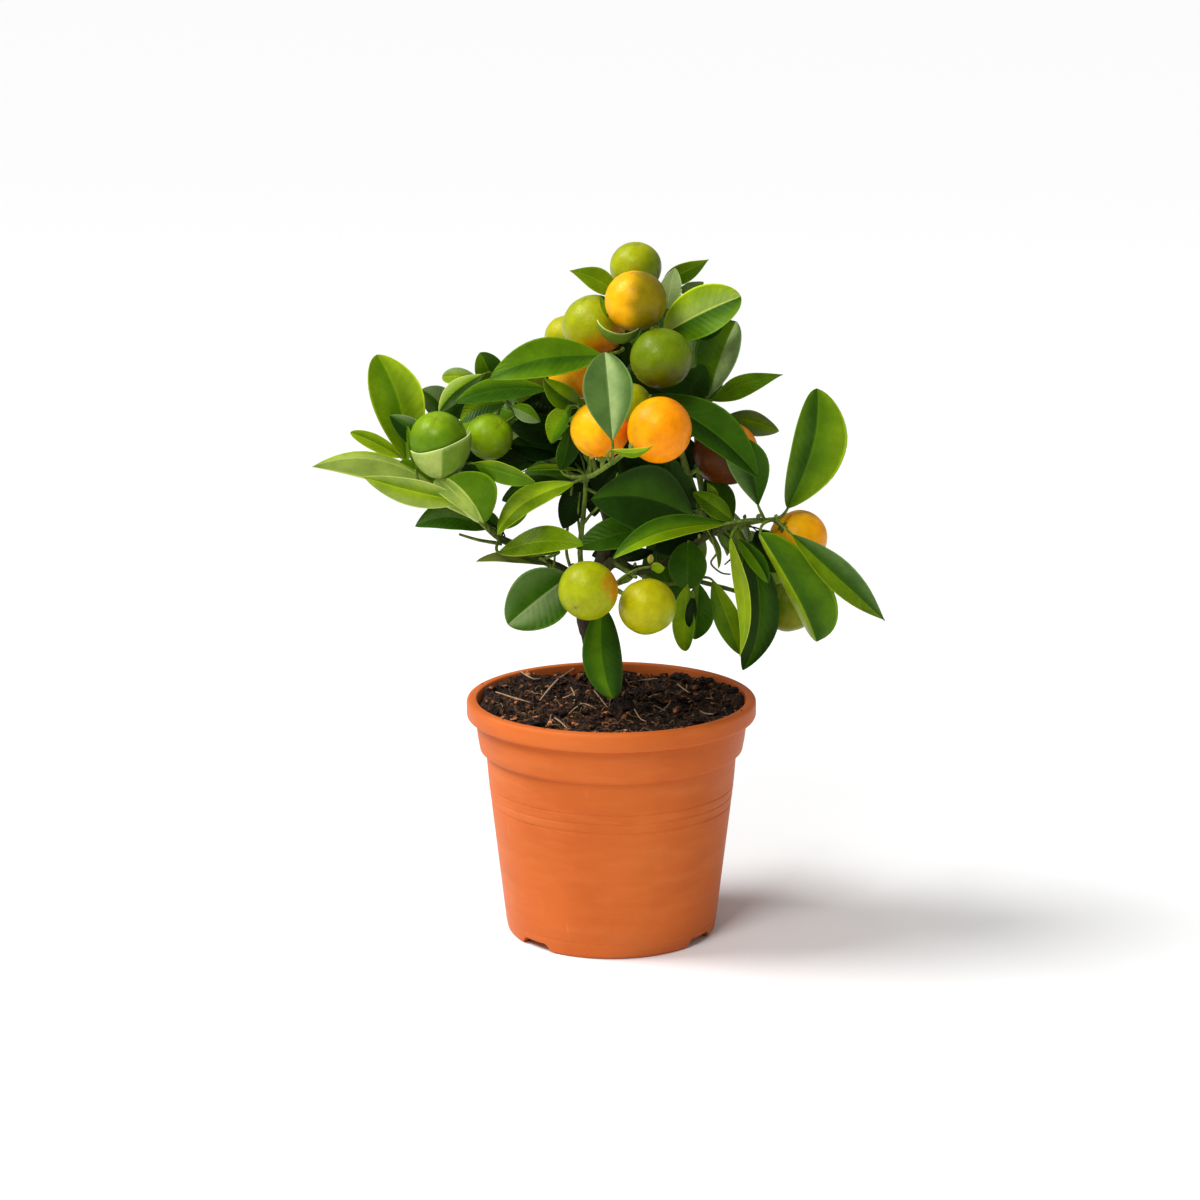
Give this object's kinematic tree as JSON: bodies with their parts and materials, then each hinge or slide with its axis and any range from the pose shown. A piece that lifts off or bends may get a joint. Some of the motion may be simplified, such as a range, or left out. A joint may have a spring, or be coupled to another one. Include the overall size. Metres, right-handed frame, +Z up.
{
  "type": "potted citrus tree",
  "caption": "Small fruiting calamondin citrus tree with glossy leaves and round green and orange fruits, growing in a round tapered terracotta-coloured nursery pot.",
  "frame": {"origin": "centre of the pot's base, on the surface that the pot stands on", "axes": "+Z up along the pot's axis; -Y is the front, where the largest leaves hang over the pot's rim"},
  "size_m": [0.2863, 0.1765, 0.359],
  "materials": {
    "terracotta_plastic": "satin",
    "peat": "matte",
    "bark": "matte",
    "fruit_rind": "satin",
    "leaf_blade": "satin"
  },
  "bodies": {
    "root": {"pot": "terracotta_plastic", "soil": "peat", "wood": "bark", "fruit_01": "fruit_rind", "fruit_02": "fruit_rind", "fruit_03": "fruit_rind", "fruit_04": "fruit_rind", "fruit_05": "fruit_rind", "fruit_06": "fruit_rind", "fruit_07": "fruit_rind", "fruit_08": "fruit_rind", "fruit_09": "fruit_rind", "fruit_10": "fruit_rind", "fruit_11": "fruit_rind", "fruit_12": "fruit_rind", "fruit_13": "fruit_rind", "fruit_14": "fruit_rind", "fruit_15": "fruit_rind", "fruit_16": "fruit_rind", "leaf_01": "leaf_blade", "leaf_02": "leaf_blade", "leaf_03": "leaf_blade", "leaf_04": "leaf_blade", "leaf_05": "leaf_blade", "leaf_06": "leaf_blade", "leaf_07": "leaf_blade", "leaf_08": "leaf_blade", "leaf_09": "leaf_blade", "leaf_10": "leaf_blade", "leaf_11": "leaf_blade", "leaf_12": "leaf_blade", "leaf_13": "leaf_blade", "leaf_14": "leaf_blade", "leaf_15": "leaf_blade", "leaf_16": "leaf_blade", "leaf_17": "leaf_blade", "leaf_18": "leaf_blade", "leaf_19": "leaf_blade", "leaf_20": "leaf_blade", "leaf_21": "leaf_blade", "leaf_22": "leaf_blade", "leaf_23": "leaf_blade", "leaf_24": "leaf_blade", "leaf_25": "leaf_blade", "leaf_26": "leaf_blade", "leaf_27": "leaf_blade", "leaf_28": "leaf_blade", "leaf_29": "leaf_blade", "leaf_30": "leaf_blade", "leaf_31": "leaf_blade", "leaf_32": "leaf_blade", "leaf_33": "leaf_blade", "leaf_34": "leaf_blade", "leaf_35": "leaf_blade", "leaf_36": "leaf_blade", "leaf_37": "leaf_blade", "leaf_38": "leaf_blade", "leaf_39": "leaf_blade", "leaf_40": "leaf_blade"}
  },
  "joints": []
}
